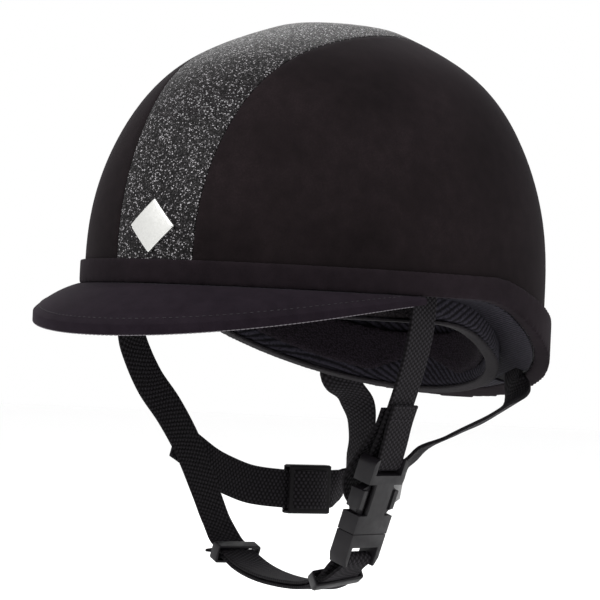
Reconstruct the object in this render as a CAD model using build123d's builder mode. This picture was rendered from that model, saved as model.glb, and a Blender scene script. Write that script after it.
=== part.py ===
"""Riding helmet: fabric-covered crown, short peak, padded rim, inner headband and four-point harness.

Millimetres. X = 0 is the plane of symmetry, -Y is the front, +X is the wearer's left.
The origin is the centre of the head opening, level with the widest part of the crown.
"""

from build123d import *
from math import atan2, cos, degrees, radians, sin, sqrt, tan
import os

os.makedirs("parts", exist_ok=True)

# Crown, as finished outside: half-axes at the widest level, height above it and fullness
crown_half_width = 102.0
crown_front_reach = 142.8
crown_back_reach = 110.9
crown_height = 123.5
crown_fullness = 2.18

# Layers of the wall, from outside to inside, and the glue line between two of them
cover_thickness = 1.2
shell_thickness = 3.0
liner_thickness = 14.0
lining_thickness = 2.0
headband_thickness = 6.5
nape_pad_thickness = 4.0
glue_line = 0.2

# Rim in side view: level at the front, bent, then falling to the nape
rim_level = -8.8
rim_bend_y = -6.0
rim_slope = 21.0
rim_bend_radius = 100.0

# Padded band round the rim: its top line and how far it stands out
band_top_level = 2.3
band_bend_y = -5.0
band_slope = 14.0
band_bend_radius = 60.0
band_proud_front = 2.4
band_bulge_reach = 5.0
band_wrap = 1.3

# Centre panel seen from above: half-widths at the front, the widest place and the nape
panel_front_half_width = 21.0
panel_widest_half_width = 35.0
panel_widest_y = -25.0
panel_back_half_width = 24.0

# Badge plate, a square turned on its corner
badge_side = 17.6
badge_height = 17.3
badge_thickness = 1.2
badge_corner = 0.8

# Peak: how far it stands out at the middle, how it falls, bows, narrows and dies out
peak_root = 4.0
peak_root_level = -9.1
peak_reach = 33.5
peak_start = 3.0
peak_fall_share = 0.58
peak_camber = 2.4
peak_end_angle = 65.5
peak_narrowing_share = 1.25
peak_roundness = 1.5
peak_thinning_share = 0.4
peak_cover_thickness = 1.1
peak_board_thickness = 2.2
peak_lining_thickness = 0.9
peak_turn_shares = (-1, -0.85, -0.7, -0.5, -0.25, 0, 0.25, 0.5, 0.7, 0.85, 1)

# Headband: how far it hangs below the rim, its height inside, and the bound lower edge
headband_hang_side = 12.0
headband_hang_nape = 8.0
headband_inside_height = 26.0
headband_split_y = -36.0
binding_height = 1.6

# Webbing, and the rivets that hold it
webbing_width = 20.0
webbing_thickness = 1.6
strap_end = 7.5
nape_exit_drop = 20.5
pocket_margin = 2.0
rivet_radius = 2.0
rivet_head_radius = 3.0
rivet_head_height = 1.0
rivet_head_sink = 1.0
rivet_shoulder_share = 0.75
washer_radius = 5.0
washer_thickness = 0.8
front_anchor_x = 86.0
front_anchor_y = -47.0
front_anchor_z = -3.5
nape_anchor_x = 53.1
nape_anchor_y = 85.4
nape_anchor_z = -26.0
swing_back = 16.0

# Side-release buckle on the wearer's left, hung from its top bar
buckle_y = -48.0
buckle_top_x = 69.5
buckle_top_z = -83.0
buckle_lean = 18.2
buckle_width = 27.0
buckle_depth = 9.6
socket_length = 37.0
plug_length = 16.0
buckle_wall = 1.9
bar_radius = 1.7
buckle_corner = 4.0
window_inner = 6.9
throat_half_width = 11.2
hollow_depth = 5.2
catch_reach = 1.2
pad_width = 2.5
pad_depth = 7.6
prong_inner = 7.5
prong_tip = 2.5
plug_bar_slot = 6.6
window_top = 12.5
window_length = 15.5
prong_width = 3.0
prong_depth = 4.6
prong_length = 23.5
guide_width = 5.0
guide_length = 23.0
play = 0.3

# Keepers of the chin strap
keeper_width = 25.6
keeper_depth = 9.4
buckle_keeper_depth = 8.2
keeper_wall = 1.4
keeper_corner = 1.6
keeper_length = 6.0
layer_step = 2.4

# Clip of the left rear strap and slider of the right one
clip_width = 25.2
clip_depth = 8.0
clip_length = 12.0
slider_width = 25.4
slider_depth = 7.2
slider_length = 25.0

# One overrun serves every cut, and every wall is drawn this deep before the rim trims it
overrun = 5.0
wall_depth = 90.0

# Insets of the layer faces from the finished surface
shell_outer = cover_thickness + glue_line
shell_inner = shell_outer + shell_thickness
liner_outer = shell_inner + glue_line
liner_inner = liner_outer + liner_thickness
lining_outer = liner_inner + glue_line
lining_inner = lining_outer + lining_thickness
headband_outer = lining_inner + glue_line
headband_inner = headband_outer + headband_thickness
nape_pad_outer = headband_inner + glue_line
nape_pad_inner = nape_pad_outer + nape_pad_thickness

side_reach = crown_half_width + band_bulge_reach + overrun
front_reach = crown_front_reach + peak_reach + overrun
back_reach = crown_back_reach + band_bulge_reach + overrun
sky = crown_height + overrun


def crown_half(inset, reach, depth):
    """Rear half of a solid crown whose surface lies inset inside the finished one."""
    radius = crown_half_width - inset
    height = crown_height - inset
    power = 2 / crown_fullness
    quarter = 90
    dome_points = [
        (radius * abs(cos(radians(quarter * share))) ** power, height * sin(radians(quarter * share)) ** power)
        for share in (0, 0.15, 0.35, 0.6, 0.82, 1)
    ]
    with BuildPart() as half:
        with BuildSketch(Plane.XZ):
            with BuildLine():
                Spline(*dome_points, tangents=[(0, 1), (-1, 0)])
                Polyline((0, height), (0, -depth), (radius, -depth), (radius, 0))
            make_face()
        revolve(axis=Axis.Z, revolution_arc=180)
        scale(by=(1, (reach - inset) / radius, 1))
    return half.part


def crown_blank(inset, extra_depth=0, bulge=0):
    """Solid crown with straight walls, sewn from a back half, bulged if asked, and a front half."""
    depth = wall_depth + extra_depth
    back = crown_half(inset, crown_back_reach + bulge, depth)
    front = crown_half(inset, crown_front_reach, depth).mirror(Plane.XZ)
    skin = [face for half in (back, front) for face in half.faces() if face.bounding_box().size.Y > overrun]
    return Solid(Shell(skin))


def line_height(y, level, bend_y, slope, radius):
    """Height of a level side-view line that bends down to the nape on an arc."""
    arc_start = bend_y - radius * tan(radians(slope / 2))
    arc_end = arc_start + radius * sin(radians(slope))
    if y <= arc_start:
        return level
    if y < arc_end:
        return level - radius + sqrt(radius**2 - (y - arc_start) ** 2)
    return level - (y - bend_y) * tan(radians(slope))


def rim_height(y):
    """Height of the rim line at y."""
    return line_height(y, rim_level, rim_bend_y, rim_slope, rim_bend_radius)


def above_line(level, bend_y, slope, radius, lift, back_lift=None):
    """Solid of everything above a side-view line that is lifted, by another amount at the back."""
    drop_back = (back_reach - bend_y) * tan(radians(slope))
    lift_back = lift if back_lift is None else back_lift
    with BuildPart() as region:
        with BuildSketch(Plane.YZ):
            with BuildLine():
                FilletPolyline(
                    (-front_reach, level + lift),
                    (bend_y, level + lift),
                    (back_reach, level - drop_back + lift_back),
                    radius=radius,
                )
                Polyline(
                    (-front_reach, level + lift),
                    (-front_reach, sky),
                    (back_reach, sky),
                    (back_reach, level - drop_back + lift_back),
                )
            make_face()
        extrude(amount=side_reach, both=True)
    return region.part


def above_rim(lift, back_lift=None):
    """Everything above the rim line, lifted."""
    return above_line(rim_level, rim_bend_y, rim_slope, rim_bend_radius, lift, back_lift)


def crown_layer(outer, inner, lift, top_lift=None, back_lift=None):
    """A wall of the crown between two insets, above the lifted rim, cut off again at top_lift."""
    with BuildPart() as layer:
        add(crown_blank(outer))
        add(crown_blank(inner, overrun), mode=Mode.SUBTRACT)
        add(above_rim(lift, back_lift), mode=Mode.INTERSECT)
        if top_lift is not None:
            add(above_rim(top_lift), mode=Mode.SUBTRACT)
    return layer.part


def panel_prism(growth):
    """Upright prism over the plan outline of the centre panel, grown sideways."""
    outline = [
        (panel_front_half_width + growth, -front_reach),
        (panel_front_half_width + growth, -crown_front_reach),
        (panel_widest_half_width + growth, panel_widest_y),
        (panel_back_half_width + growth, crown_back_reach),
        (panel_back_half_width + growth, back_reach),
    ]
    with BuildPart() as prism:
        with BuildSketch(Plane.XY.offset(-wall_depth)):
            with BuildLine():
                Line(outline[0], outline[1])
                bow = Spline(outline[1], outline[2], outline[3], tangents=[(0.15, 1), (-0.15, 1)])
                Line(outline[3], outline[4])
                Polyline(outline[4], (0, back_reach), (0, -front_reach), outline[0])
            make_face()
        extrude(amount=wall_depth + sky)
        mirror(about=Plane.YZ)
    return prism.part


# Fabric covers: a glitter centre panel between two suede side panels
cover = crown_layer(0, cover_thickness, band_wrap + glue_line)
with BuildPart() as centre_panel:
    add(cover)
    add(panel_prism(0), mode=Mode.INTERSECT)
centre_panel.part.label = "centre_panel"
export_step(centre_panel.part, "parts/centre_panel.step")

with BuildPart() as side_covers:
    add(cover)
    add(panel_prism(glue_line), mode=Mode.SUBTRACT)
covers_by_side = side_covers.solids().sort_by(Axis.X)
side_cover_left = covers_by_side[-1]
side_cover_left.label = "side_cover_left"
export_step(side_cover_left, "parts/side_cover_left.step")
side_cover_right = covers_by_side[0]
side_cover_right.label = "side_cover_right"
export_step(side_cover_right, "parts/side_cover_right.step")

# Anchor places of the four straps, as (x, y, z, turn of the rivet's axis from +X)
nape_axis_turn = degrees(atan2(nape_anchor_y / crown_back_reach**2, nape_anchor_x / crown_half_width**2))
anchors = [
    (front_anchor_x, front_anchor_y, front_anchor_z, 0),
    (-front_anchor_x, front_anchor_y, front_anchor_z, 180),
    (nape_anchor_x, nape_anchor_y, nape_anchor_z, nape_axis_turn),
    (-nape_anchor_x, nape_anchor_y, nape_anchor_z, 180 - nape_axis_turn),
]


def anchor_plane(x, y, z, turn, offset=0):
    """Plane across a rivet, facing outwards, with its own y axis upright."""
    out = Vector(cos(radians(turn)), sin(radians(turn)), 0)
    across = Vector(-sin(radians(turn)), cos(radians(turn)), 0)
    return Plane(origin=Vector(x, y, z) + out * offset, x_dir=across, z_dir=out)


def distance_to_skin(x, y, z, turn, inset):
    """Distance from an anchor, along its rivet, to the crown surface at an inset."""
    reach = (crown_front_reach if y < 0 else crown_back_reach) - inset
    width = crown_half_width - inset
    height_share = max(0, z) / (crown_height - inset)
    level_share = (1 - height_share**crown_fullness) ** (1 / crown_fullness)
    across, along = cos(radians(turn)), sin(radians(turn))
    square = (across / width) ** 2 + (along / reach) ** 2
    linear = x * across / width**2 + y * along / reach**2
    constant = (x / width) ** 2 + (y / reach) ** 2 - level_share**2
    return (sqrt(linear**2 - square * constant) - linear) / square


def rivet_head_base(x, y, z, turn):
    """Distance along the rivet to the inner face of its sunk head."""
    return distance_to_skin(x, y, z, turn, shell_outer) - rivet_head_sink - rivet_head_height


# Hard outer shell with a stepped hole for each rivet
with BuildPart() as rivet_holes:
    for anchor in anchors:
        with BuildSketch(anchor_plane(*anchor)):
            Circle(rivet_radius + glue_line)
        extrude(amount=liner_thickness)
        with BuildSketch(anchor_plane(*anchor, offset=rivet_head_base(*anchor))):
            Circle(rivet_head_radius + glue_line)
        extrude(amount=overrun)
with BuildPart() as outer_shell:
    add(crown_layer(shell_outer, shell_inner, band_wrap + glue_line))
    add(rivet_holes.part, mode=Mode.SUBTRACT)
outer_shell.part.label = "outer_shell"
export_step(outer_shell.part, "parts/outer_shell.step")

# Foam liner with a pocket for each strap, fan-shaped at the temples where the straps swing
pocket_depth = webbing_thickness + 2 * washer_thickness + pocket_margin
pocket_half_width = webbing_width / 2 + 2 * pocket_margin
with BuildPart() as strap_pockets:
    for anchor in anchors:
        rear_side = 1 if anchor[0] > 0 else -1
        fan = tan(radians(swing_back)) * wall_depth + pocket_margin if anchor[1] < 0 else 0
        with BuildSketch(anchor_plane(*anchor, offset=webbing_thickness - pocket_depth)):
            with BuildLine():
                Polyline(
                    (-rear_side * pocket_half_width, pocket_half_width),
                    (rear_side * pocket_half_width, pocket_half_width),
                    (rear_side * (pocket_half_width + fan), pocket_half_width - wall_depth),
                    (-rear_side * pocket_half_width, pocket_half_width - wall_depth),
                    close=True,
                )
            make_face()
        extrude(amount=pocket_depth + liner_thickness)
with BuildPart() as impact_liner:
    add(crown_layer(liner_outer, liner_inner, band_wrap + glue_line))
    add(strap_pockets.part, mode=Mode.SUBTRACT)
impact_liner.part.label = "impact_liner"
export_step(impact_liner.part, "parts/impact_liner.step")

# Fabric lining of the crown
crown_lining = crown_layer(lining_outer, lining_inner, band_wrap + glue_line)
crown_lining.label = "crown_lining"
export_step(crown_lining, "parts/crown_lining.step")

# Headband: terry-faced at the forehead, knit-faced from the temples round to the nape
headband = crown_layer(
    headband_outer, headband_inner, -headband_hang_side, headband_inside_height, -headband_hang_nape
)
binding_top = above_rim(-headband_hang_side + binding_height, -headband_hang_nape + binding_height)
pad_bottom = above_rim(
    -headband_hang_side + binding_height + glue_line, -headband_hang_nape + binding_height + glue_line
)
split_plane = Plane.XZ.offset(-headband_split_y)
with BuildPart() as headband_front:
    add(headband)
    add(pad_bottom, mode=Mode.INTERSECT)
    split(bisect_by=split_plane, keep=Keep.TOP)
headband_front.part.label = "headband_front"
export_step(headband_front.part, "parts/headband_front.step")
with BuildPart() as headband_rear:
    add(headband)
    add(pad_bottom, mode=Mode.INTERSECT)
    split(bisect_by=split_plane.offset(-glue_line), keep=Keep.BOTTOM)
headband_rear.part.label = "headband_rear"
export_step(headband_rear.part, "parts/headband_rear.step")
with BuildPart() as headband_binding:
    add(headband)
    add(binding_top, mode=Mode.SUBTRACT)
headband_binding.part.label = "headband_binding"
export_step(headband_binding.part, "parts/headband_binding.step")

# Nape pad: a shaped pad inside the back of the headband, notched in the middle
nape_pad_half_width = 68.0
nape_pad_top_lift = 18.0
nape_pad_edge_lift = -4.0
notch_half_width = 40.0
with BuildPart() as nape_pad:
    add(crown_layer(nape_pad_outer, nape_pad_inner, nape_pad_edge_lift, nape_pad_top_lift, nape_pad_edge_lift))
    with BuildSketch(Plane.XZ):
        with BuildLine():
            notch_top = rim_height(crown_back_reach - nape_pad_outer) + nape_pad_top_lift / 2
            Polyline(
                (-nape_pad_half_width, sky),
                (nape_pad_half_width, sky),
                (nape_pad_half_width, -wall_depth),
                (notch_half_width, -wall_depth),
                (notch_half_width, rim_height(crown_back_reach) - nape_pad_edge_lift),
                (0, notch_top),
                (-notch_half_width, rim_height(crown_back_reach) - nape_pad_edge_lift),
                (-notch_half_width, -wall_depth),
                (-nape_pad_half_width, -wall_depth),
                close=True,
            )
        make_face()
    extrude(amount=-back_reach, mode=Mode.INTERSECT)
nape_pad.part.label = "nape_pad"
export_step(nape_pad.part, "parts/nape_pad.step")

# Rim lining: knit fabric that closes the underside of the foam, inside the band's wrap
with BuildPart() as rim_lining:
    add(crown_layer(shell_inner + glue_line, lining_inner, 0, band_wrap))
    add(strap_pockets.part, mode=Mode.SUBTRACT)
rim_lining.part.label = "rim_lining"
export_step(rim_lining.part, "parts/rim_lining.step")


# Padded rim band: rounded over the rim's edge and bulging towards the nape
with BuildPart() as band_seat:
    add(crown_blank(-glue_line, overrun))
    add(above_rim(band_wrap), mode=Mode.INTERSECT)
with BuildPart() as rim_band:
    add(crown_blank(-band_proud_front, 0, band_bulge_reach))
    add(above_rim(0), mode=Mode.INTERSECT)
    add(above_line(band_top_level, band_bend_y, band_slope, band_bend_radius, 0), mode=Mode.SUBTRACT)
    add(band_seat.part, mode=Mode.SUBTRACT)
    add(crown_blank(shell_inner, overrun), mode=Mode.SUBTRACT)
rim_band.part.label = "rim_band"
export_step(rim_band.part, "parts/rim_band.step")

# Rivets and their inner washers
with BuildPart() as harness_rivets:
    for anchor in anchors:
        head_base = rivet_head_base(*anchor) + glue_line
        shoulder_start = webbing_thickness + glue_line
        shoulder_length = rivet_shoulder_share * distance_to_skin(*anchor, shell_inner) - shoulder_start
        washer_face = -glue_line - washer_thickness - glue_line
        with BuildSketch(anchor_plane(*anchor, offset=washer_face - rivet_head_height)):
            Circle(rivet_head_radius)
        extrude(amount=rivet_head_height)
        with BuildSketch(anchor_plane(*anchor, offset=washer_face)):
            Circle(rivet_radius)
        extrude(amount=head_base - washer_face)
        with BuildSketch(anchor_plane(*anchor, offset=shoulder_start)):
            Circle(rivet_head_radius)
        extrude(amount=shoulder_length)
        with BuildSketch(anchor_plane(*anchor, offset=head_base)):
            Circle(rivet_head_radius)
        extrude(amount=rivet_head_height)
harness_rivets.part.label = "harness_rivets"
export_step(harness_rivets.part, "parts/harness_rivets.step")
with BuildPart() as harness_washers:
    for anchor in anchors:
        with BuildSketch(anchor_plane(*anchor, offset=-glue_line - washer_thickness)):
            Circle(washer_radius)
            Circle(rivet_radius + glue_line, mode=Mode.SUBTRACT)
        extrude(amount=washer_thickness)
harness_washers.part.label = "harness_washers"
export_step(harness_washers.part, "parts/harness_washers.step")


# Badge plate on the front of the crown
with BuildPart() as badge:
    with BuildSketch(Plane.XZ.offset(crown_front_reach / 2)):
        with Locations((0, badge_height)):
            RectangleRounded(badge_side, badge_side, badge_corner, rotation=45)
    extrude(amount=crown_front_reach)
    add(crown_blank(-glue_line - badge_thickness), mode=Mode.INTERSECT)
    add(crown_blank(-glue_line), mode=Mode.SUBTRACT)
badge.part.label = "badge"
export_step(badge.part, "parts/badge.step")


def peak_section(turn, upper, lower, edge_gap, hem):
    """Section of one peak layer between two depths, across the brim at a turn from the front."""
    side, ahead = sin(radians(turn)), cos(radians(turn))
    plane = Plane(
        origin=(crown_half_width * side, -crown_front_reach * ahead, peak_root_level),
        x_dir=(side, -ahead, 0),
        z_dir=(-ahead, -side, 0),
    )
    reach = peak_reach * cos(radians(turn * peak_narrowing_share)) ** peak_roundness
    thinning = peak_thinning_share + (1 - peak_thinning_share) * sqrt(reach / peak_reach)
    upper, lower = upper * thinning, lower * thinning
    end = peak_start + reach - edge_gap * thinning
    middle = (peak_start + end) / 2
    fall = -peak_fall_share * (end - peak_start)
    bow = fall / 2 + peak_camber * reach / peak_reach
    hem_top = fall + peak_fall_share * peak_cover_thickness * thinning - lower
    wall = peak_cover_thickness * thinning
    full_depth = (peak_cover_thickness + peak_board_thickness + peak_lining_thickness + 2 * glue_line) * thinning
    with BuildSketch(plane) as section:
        with BuildLine():
            Line((-peak_root, -upper), (peak_start, -upper))
            Spline((peak_start, -upper), (middle, bow - upper), (end, fall - upper))
            if hem:
                Polyline(
                    (end, fall - upper),
                    (end, fall - full_depth),
                    (end - wall, fall - full_depth),
                    (end - wall, hem_top),
                )
                Spline((end - wall, hem_top), (middle, bow - lower), (peak_start, -lower))
            else:
                Line((end, fall - upper), (end, fall - lower))
                Spline((end, fall - lower), (middle, bow - lower), (peak_start, -lower))
            Polyline((peak_start, -lower), (-peak_root, -lower), (-peak_root, -upper))
        make_face()
    return section.sketch


def peak_layer(upper, thickness, edge_gap=0, hem=False):
    """One layer of the peak, swept round the front through its sections."""
    with BuildPart() as layer:
        for turn_share in peak_turn_shares:
            add(peak_section(peak_end_angle * turn_share, upper, upper + thickness, edge_gap, hem))
        loft()
    return layer.part


# Peak: a stiff board between the fabric cover, folded down over its edge, and a lining
board_depth = peak_cover_thickness + glue_line
peak_cover = peak_layer(0, peak_cover_thickness, hem=True)
peak_cover.label = "peak_cover"
export_step(peak_cover, "parts/peak_cover.step")
peak_board = peak_layer(board_depth, peak_board_thickness, board_depth)
peak_board.label = "peak_board"
export_step(peak_board, "parts/peak_board.step")
peak_lining = peak_layer(board_depth + peak_board_thickness + glue_line, peak_lining_thickness, board_depth)
peak_lining.label = "peak_lining"
export_step(peak_lining, "parts/peak_lining.step")


def unit(vector):
    """Vector of length one."""
    return Vector(*vector).normalized()


def ribbon(route, offset=0, first=0, last=None):
    """Flat webbing along part of a route of (point, width direction), shifted to its upper face."""
    points = [Vector(*point) for point, _ in route]
    with BuildPart() as strap:
        for index in range(first, last or len(route)):
            run = (points[min(len(points) - 1, index + 1)] - points[max(0, index - 1)]).normalized()
            face_out = run.cross(unit(route[index][1])).normalized()
            with BuildSketch(Plane(origin=points[index] + face_out * offset, x_dir=face_out.cross(run), z_dir=run)):
                Rectangle(webbing_width, webbing_thickness)
        loft()
    return strap.part


def joined(first, second):
    """One solid sewn from two ribbons that meet at an end face each."""
    skin = [
        face
        for piece, other in ((first, second), (second, first))
        for face in piece.faces()
        if min((face.center() - end.center()).length for end in other.faces()) > glue_line
    ]
    return Solid(Shell(skin))


# Buckle axes: along the pull, and square to its face
lean = radians(buckle_lean)
buckle_up = Vector(sin(lean), 0, cos(lean))
buckle_out = Vector(cos(lean), 0, -sin(lean))
buckle_top = Vector(buckle_top_x, buckle_y, buckle_top_z)
buckle_plane = Plane(origin=buckle_top, x_dir=(0, 1, 0), z_dir=buckle_out)
buckle_side_plane = Plane(origin=buckle_top, x_dir=buckle_up, z_dir=(0, 1, 0))
loop_radius = bar_radius + play + webbing_thickness / 2
socket_bar_drop = bar_radius + webbing_thickness + play
plug_bar_drop = socket_length + play + plug_length - bar_radius - play


def buckle_point(drop, out):
    """Point in the middle plane of the buckle, this far below its top and out from its middle."""
    return buckle_top - buckle_up * drop + buckle_out * out


def strip(points, thickness=webbing_thickness, width=webbing_width):
    """Flat webbing of a given width whose centreline lies in one plane y = buckle_y."""
    here = [Vector(x, buckle_y, z) for x, z in points]
    sides = []
    for side in (1, -1):
        edge = []
        for index, point in enumerate(here):
            run = (here[min(len(here) - 1, index + 1)] - here[max(0, index - 1)]).normalized()
            edge.append(point + run.cross(Vector(0, 1, 0)) * (side * thickness / 2))
        sides.append([(point.X, point.Z) for point in edge])
    with BuildPart() as band:
        with BuildSketch(Plane.XZ.offset(-buckle_y - width / 2)):
            with BuildLine():
                Spline(*sides[0])
                Line(sides[0][-1], sides[1][-1])
                Spline(*reversed(sides[1]))
                Line(sides[1][0], sides[0][0])
            make_face()
        extrude(amount=width)
    return band.part


def flat(vector):
    """The (x, z) pair of a point."""
    return (vector.X, vector.Z)


def rivet_cut(anchor):
    """Drill for the rivet of an anchor."""
    with BuildPart() as drill:
        with BuildSketch(anchor_plane(*anchor, offset=-overrun)):
            Circle(rivet_radius + glue_line)
        extrude(amount=2 * overrun)
    return drill.part


# Front strap on the left: from its rivet to the buckle's bar, round it and back up
loop_turns = (0, 30, 60, 90, 120, 150, 180)
strap_face = front_anchor_x + webbing_thickness / 2
left_route = [
    (strap_face, front_anchor_z + strap_end),
    (strap_face, front_anchor_z),
    (strap_face, front_anchor_z - strap_end),
    (85.9, -24),
    (83.0, -38),
    (78.9, -52),
    (74.0, -66),
    (70.0, -76),
]
socket_loop = [
    flat(
        buckle_point(
            socket_bar_drop + loop_radius * sin(radians(turn)), -loop_radius * cos(radians(turn))
        )
    )
    for turn in loop_turns
]
doubled = [(73.9, -77.5), (76.2, -68.0), (79.2, -59.0)]
front_strap_left = strip(left_route + socket_loop + doubled) - rivet_cut(anchors[0])
front_strap_left.label = "front_strap_left"
export_step(front_strap_left, "parts/front_strap_left.step")

# Front strap on the right: down behind the cheek and forward under the chin to the keeper
right_route = [
    ((-strap_face, front_anchor_y, front_anchor_z + strap_end), (0, 1, 0)),
    ((-strap_face, front_anchor_y, front_anchor_z), (0, 1, 0)),
    ((-strap_face, front_anchor_y, front_anchor_z - strap_end), (0, 1, 0)),
    ((-strap_face, front_anchor_y, front_anchor_z - 2 * strap_end), (0, 1, 0)),
    ((-87.1, -46.8, -26), (0, 1, 0.1)),
    ((-86.9, -44.0, -36), (0, 0.93, 0.37)),
    ((-85.0, -32.7, -54), (0, 0.82, 0.57)),
    ((-82.0, -19.0, -69), (0, 0.78, 0.63)),
    ((-79.0, -6.7, -86), (0, 0.84, 0.54)),
    ((-75.0, 4.0, -108), (0, 0.93, 0.37)),
    ((-71.0, 9.2, -123), (0.05, 0.98, 0.15)),
    ((-65.5, 10.8, -132.6), (0.2, 0.97, 0.08)),
    ((-58.5, 9.3, -136.9), (0.3, 0.95, 0)),
]
front_strap_right = joined(ribbon(right_route, last=3), ribbon(right_route, first=2)) - rivet_cut(anchors[1])
front_strap_right.label = "front_strap_right"
export_step(front_strap_right, "parts/front_strap_right.step")

# Chin strap from the keeper to the plug's bar, round it and back to the small keeper
plug_bar = buckle_point(plug_bar_drop, 0)
chin_run = unit((1, 0, 1))
chin_in = unit((-1, 0, 1))
plug_loop = [
    (
        tuple(plug_bar + chin_in * (loop_radius * cos(radians(turn))) + chin_run * (loop_radius * sin(radians(turn)))),
        (0, 1, 0),
    )
    for turn in loop_turns
]
chin_route = [
    ((-57.4, 9.0, -137.4), (0.3, 0.95, 0)),
    ((-45.0, 4.6, -142.6), (0.4, 0.92, 0)),
    ((-32.0, -1.8, -145.4), (0.44, 0.9, 0)),
    ((-18.0, -9.1, -146.8), (0.45, 0.89, 0)),
    ((-5.0, -16.0, -147.2), (0.46, 0.89, 0)),
    ((8.0, -23.2, -147.0), (0.45, 0.89, 0)),
    ((20.0, -29.9, -146.2), (0.42, 0.91, 0)),
    ((30.5, -36.2, -144.0), (0.33, 0.94, 0)),
    ((39.5, -42.0, -140.2), (0.15, 0.99, 0)),
    ((46.0, -46.0, -134.8), (0.05, 1, 0)),
]
chin_return = [
    ((51.2, -47.6, -136.8), (0, 1, 0)),
    ((46.0, -45.4, -140.2), (0.05, 1, 0)),
    ((40.9, -42.6, -142.6), (0.15, 0.99, 0)),
]
chin_full_route = [right_route[-1]] + chin_route + plug_loop + chin_return
loop_middle = 1 + len(chin_route) + len(plug_loop) // 2
chin_end = len(chin_route)
chin_strap = joined(
    joined(
        ribbon(chin_full_route, first=1, last=chin_end + 1),
        ribbon(chin_full_route, first=chin_end, last=loop_middle + 1),
    ),
    ribbon(chin_full_route, first=loop_middle),
)
chin_strap.label = "chin_strap"
export_step(chin_strap, "parts/chin_strap.step")

# Its tail runs back outside the main layer and pokes out past the far keeper
tail_route = [
    ((-71.0, 8.4, -135.4), (0.3, 0.95, 0)),
    ((-64.5, 9.6, -135.8), (0.3, 0.95, 0)),
] + chin_route[:8] + [((36.0, -39.8, -142.0), (0.22, 0.97, 0))]
chin_strap_tail = ribbon(tail_route, -layer_step)
chin_strap_tail.label = "chin_strap_tail"
export_step(chin_strap_tail, "parts/chin_strap_tail.step")


def keeper(route, index, shift, width, depth, length):
    """Flat loop round the webbing at a point of its route, its opening square to the run."""
    points = [Vector(*point) for point, _ in route]
    run = (points[min(len(points) - 1, index + 1)] - points[max(0, index - 1)]).normalized()
    face_out = run.cross(unit(route[index][1])).normalized()
    centre = points[index] + face_out * shift
    with BuildPart() as ring:
        with BuildSketch(Plane(origin=centre - run * (length / 2), x_dir=face_out.cross(run), z_dir=run)):
            RectangleRounded(width, depth, keeper_corner)
            Rectangle(width - 2 * keeper_wall, depth - 2 * keeper_wall, mode=Mode.SUBTRACT)
        extrude(amount=length)
    return ring.part


chin_keeper = keeper(
    [right_route[-1]] + chin_route, 1, -layer_step / 2, keeper_width, keeper_depth, keeper_length
)
chin_keeper.label = "chin_keeper"
export_step(chin_keeper, "parts/chin_keeper.step")
buckle_keeper = keeper(chin_route, 8, -layer_step / 2, keeper_width, buckle_keeper_depth, keeper_length)
buckle_keeper.label = "buckle_keeper"
export_step(buckle_keeper, "parts/buckle_keeper.step")


# Socket of the buckle: ears and a round bar for the webbing, side windows and a hollow for the plug
half_width = buckle_width / 2
ear_inner = webbing_width / 2 + play
slot_bottom = socket_bar_drop + loop_radius + webbing_thickness
with BuildPart() as buckle_socket:
    with BuildSketch(buckle_plane.offset(-buckle_depth / 2)):
        with BuildLine():
            FilletPolyline(
                (half_width, -socket_length),
                (half_width, 0),
                (-half_width, 0),
                (-half_width, -socket_length),
                radius=buckle_corner,
            )
            Line((-half_width, -socket_length), (half_width, -socket_length))
        make_face()
        with Locations((0, -slot_bottom / 2)):
            Rectangle(2 * ear_inner, slot_bottom, mode=Mode.SUBTRACT)
        with Locations(
            (window_inner + half_width, -window_top - window_length / 2),
            (-window_inner - half_width, -window_top - window_length / 2),
        ):
            Rectangle(2 * half_width, window_length, mode=Mode.SUBTRACT)
    extrude(amount=buckle_depth)
    with BuildSketch(buckle_plane.offset(-hollow_depth / 2)):
        with Locations((0, -(socket_length + window_top) / 2)):
            Rectangle(2 * throat_half_width, socket_length - window_top)
    extrude(amount=hollow_depth, mode=Mode.SUBTRACT)
    with BuildSketch(buckle_side_plane.offset(-half_width + buckle_wall)):
        with Locations((-socket_bar_drop, 0)):
            Circle(bar_radius)
    extrude(amount=buckle_width - 2 * buckle_wall)
buckle_socket.part.label = "buckle_socket"
export_step(buckle_socket.part, "parts/buckle_socket.step")

# Plug of the buckle: base with ears and a round bar, and a guide that enters the socket
base_top = -socket_length - play
base_bottom = base_top - plug_length
with BuildPart() as buckle_plug:
    with BuildSketch(buckle_plane.offset(-buckle_depth / 2)):
        Polygon(
            (-half_width, base_top),
            (half_width, base_top),
            (half_width, base_bottom + buckle_corner),
            (half_width - buckle_wall, base_bottom),
            (-half_width + buckle_wall, base_bottom),
            (-half_width, base_bottom + buckle_corner),
            align=None,
        )
        with Locations((0, base_bottom)):
            Rectangle(2 * ear_inner, 2 * (plug_bar_slot + loop_radius), mode=Mode.SUBTRACT)
    extrude(amount=buckle_depth)
    with BuildSketch(buckle_plane.offset(-prong_depth / 2)):
        with Locations((0, base_top + guide_length / 2 - buckle_wall)):
            Rectangle(guide_width, guide_length)
    extrude(amount=prong_depth)
    with BuildSketch(buckle_side_plane.offset(-half_width + buckle_wall)):
        with Locations((-plug_bar_drop, 0)):
            Circle(bar_radius)
    extrude(amount=buckle_width - 2 * buckle_wall)
buckle_plug.part.label = "buckle_plug"
export_step(buckle_plug.part, "parts/buckle_plug.step")

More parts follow.
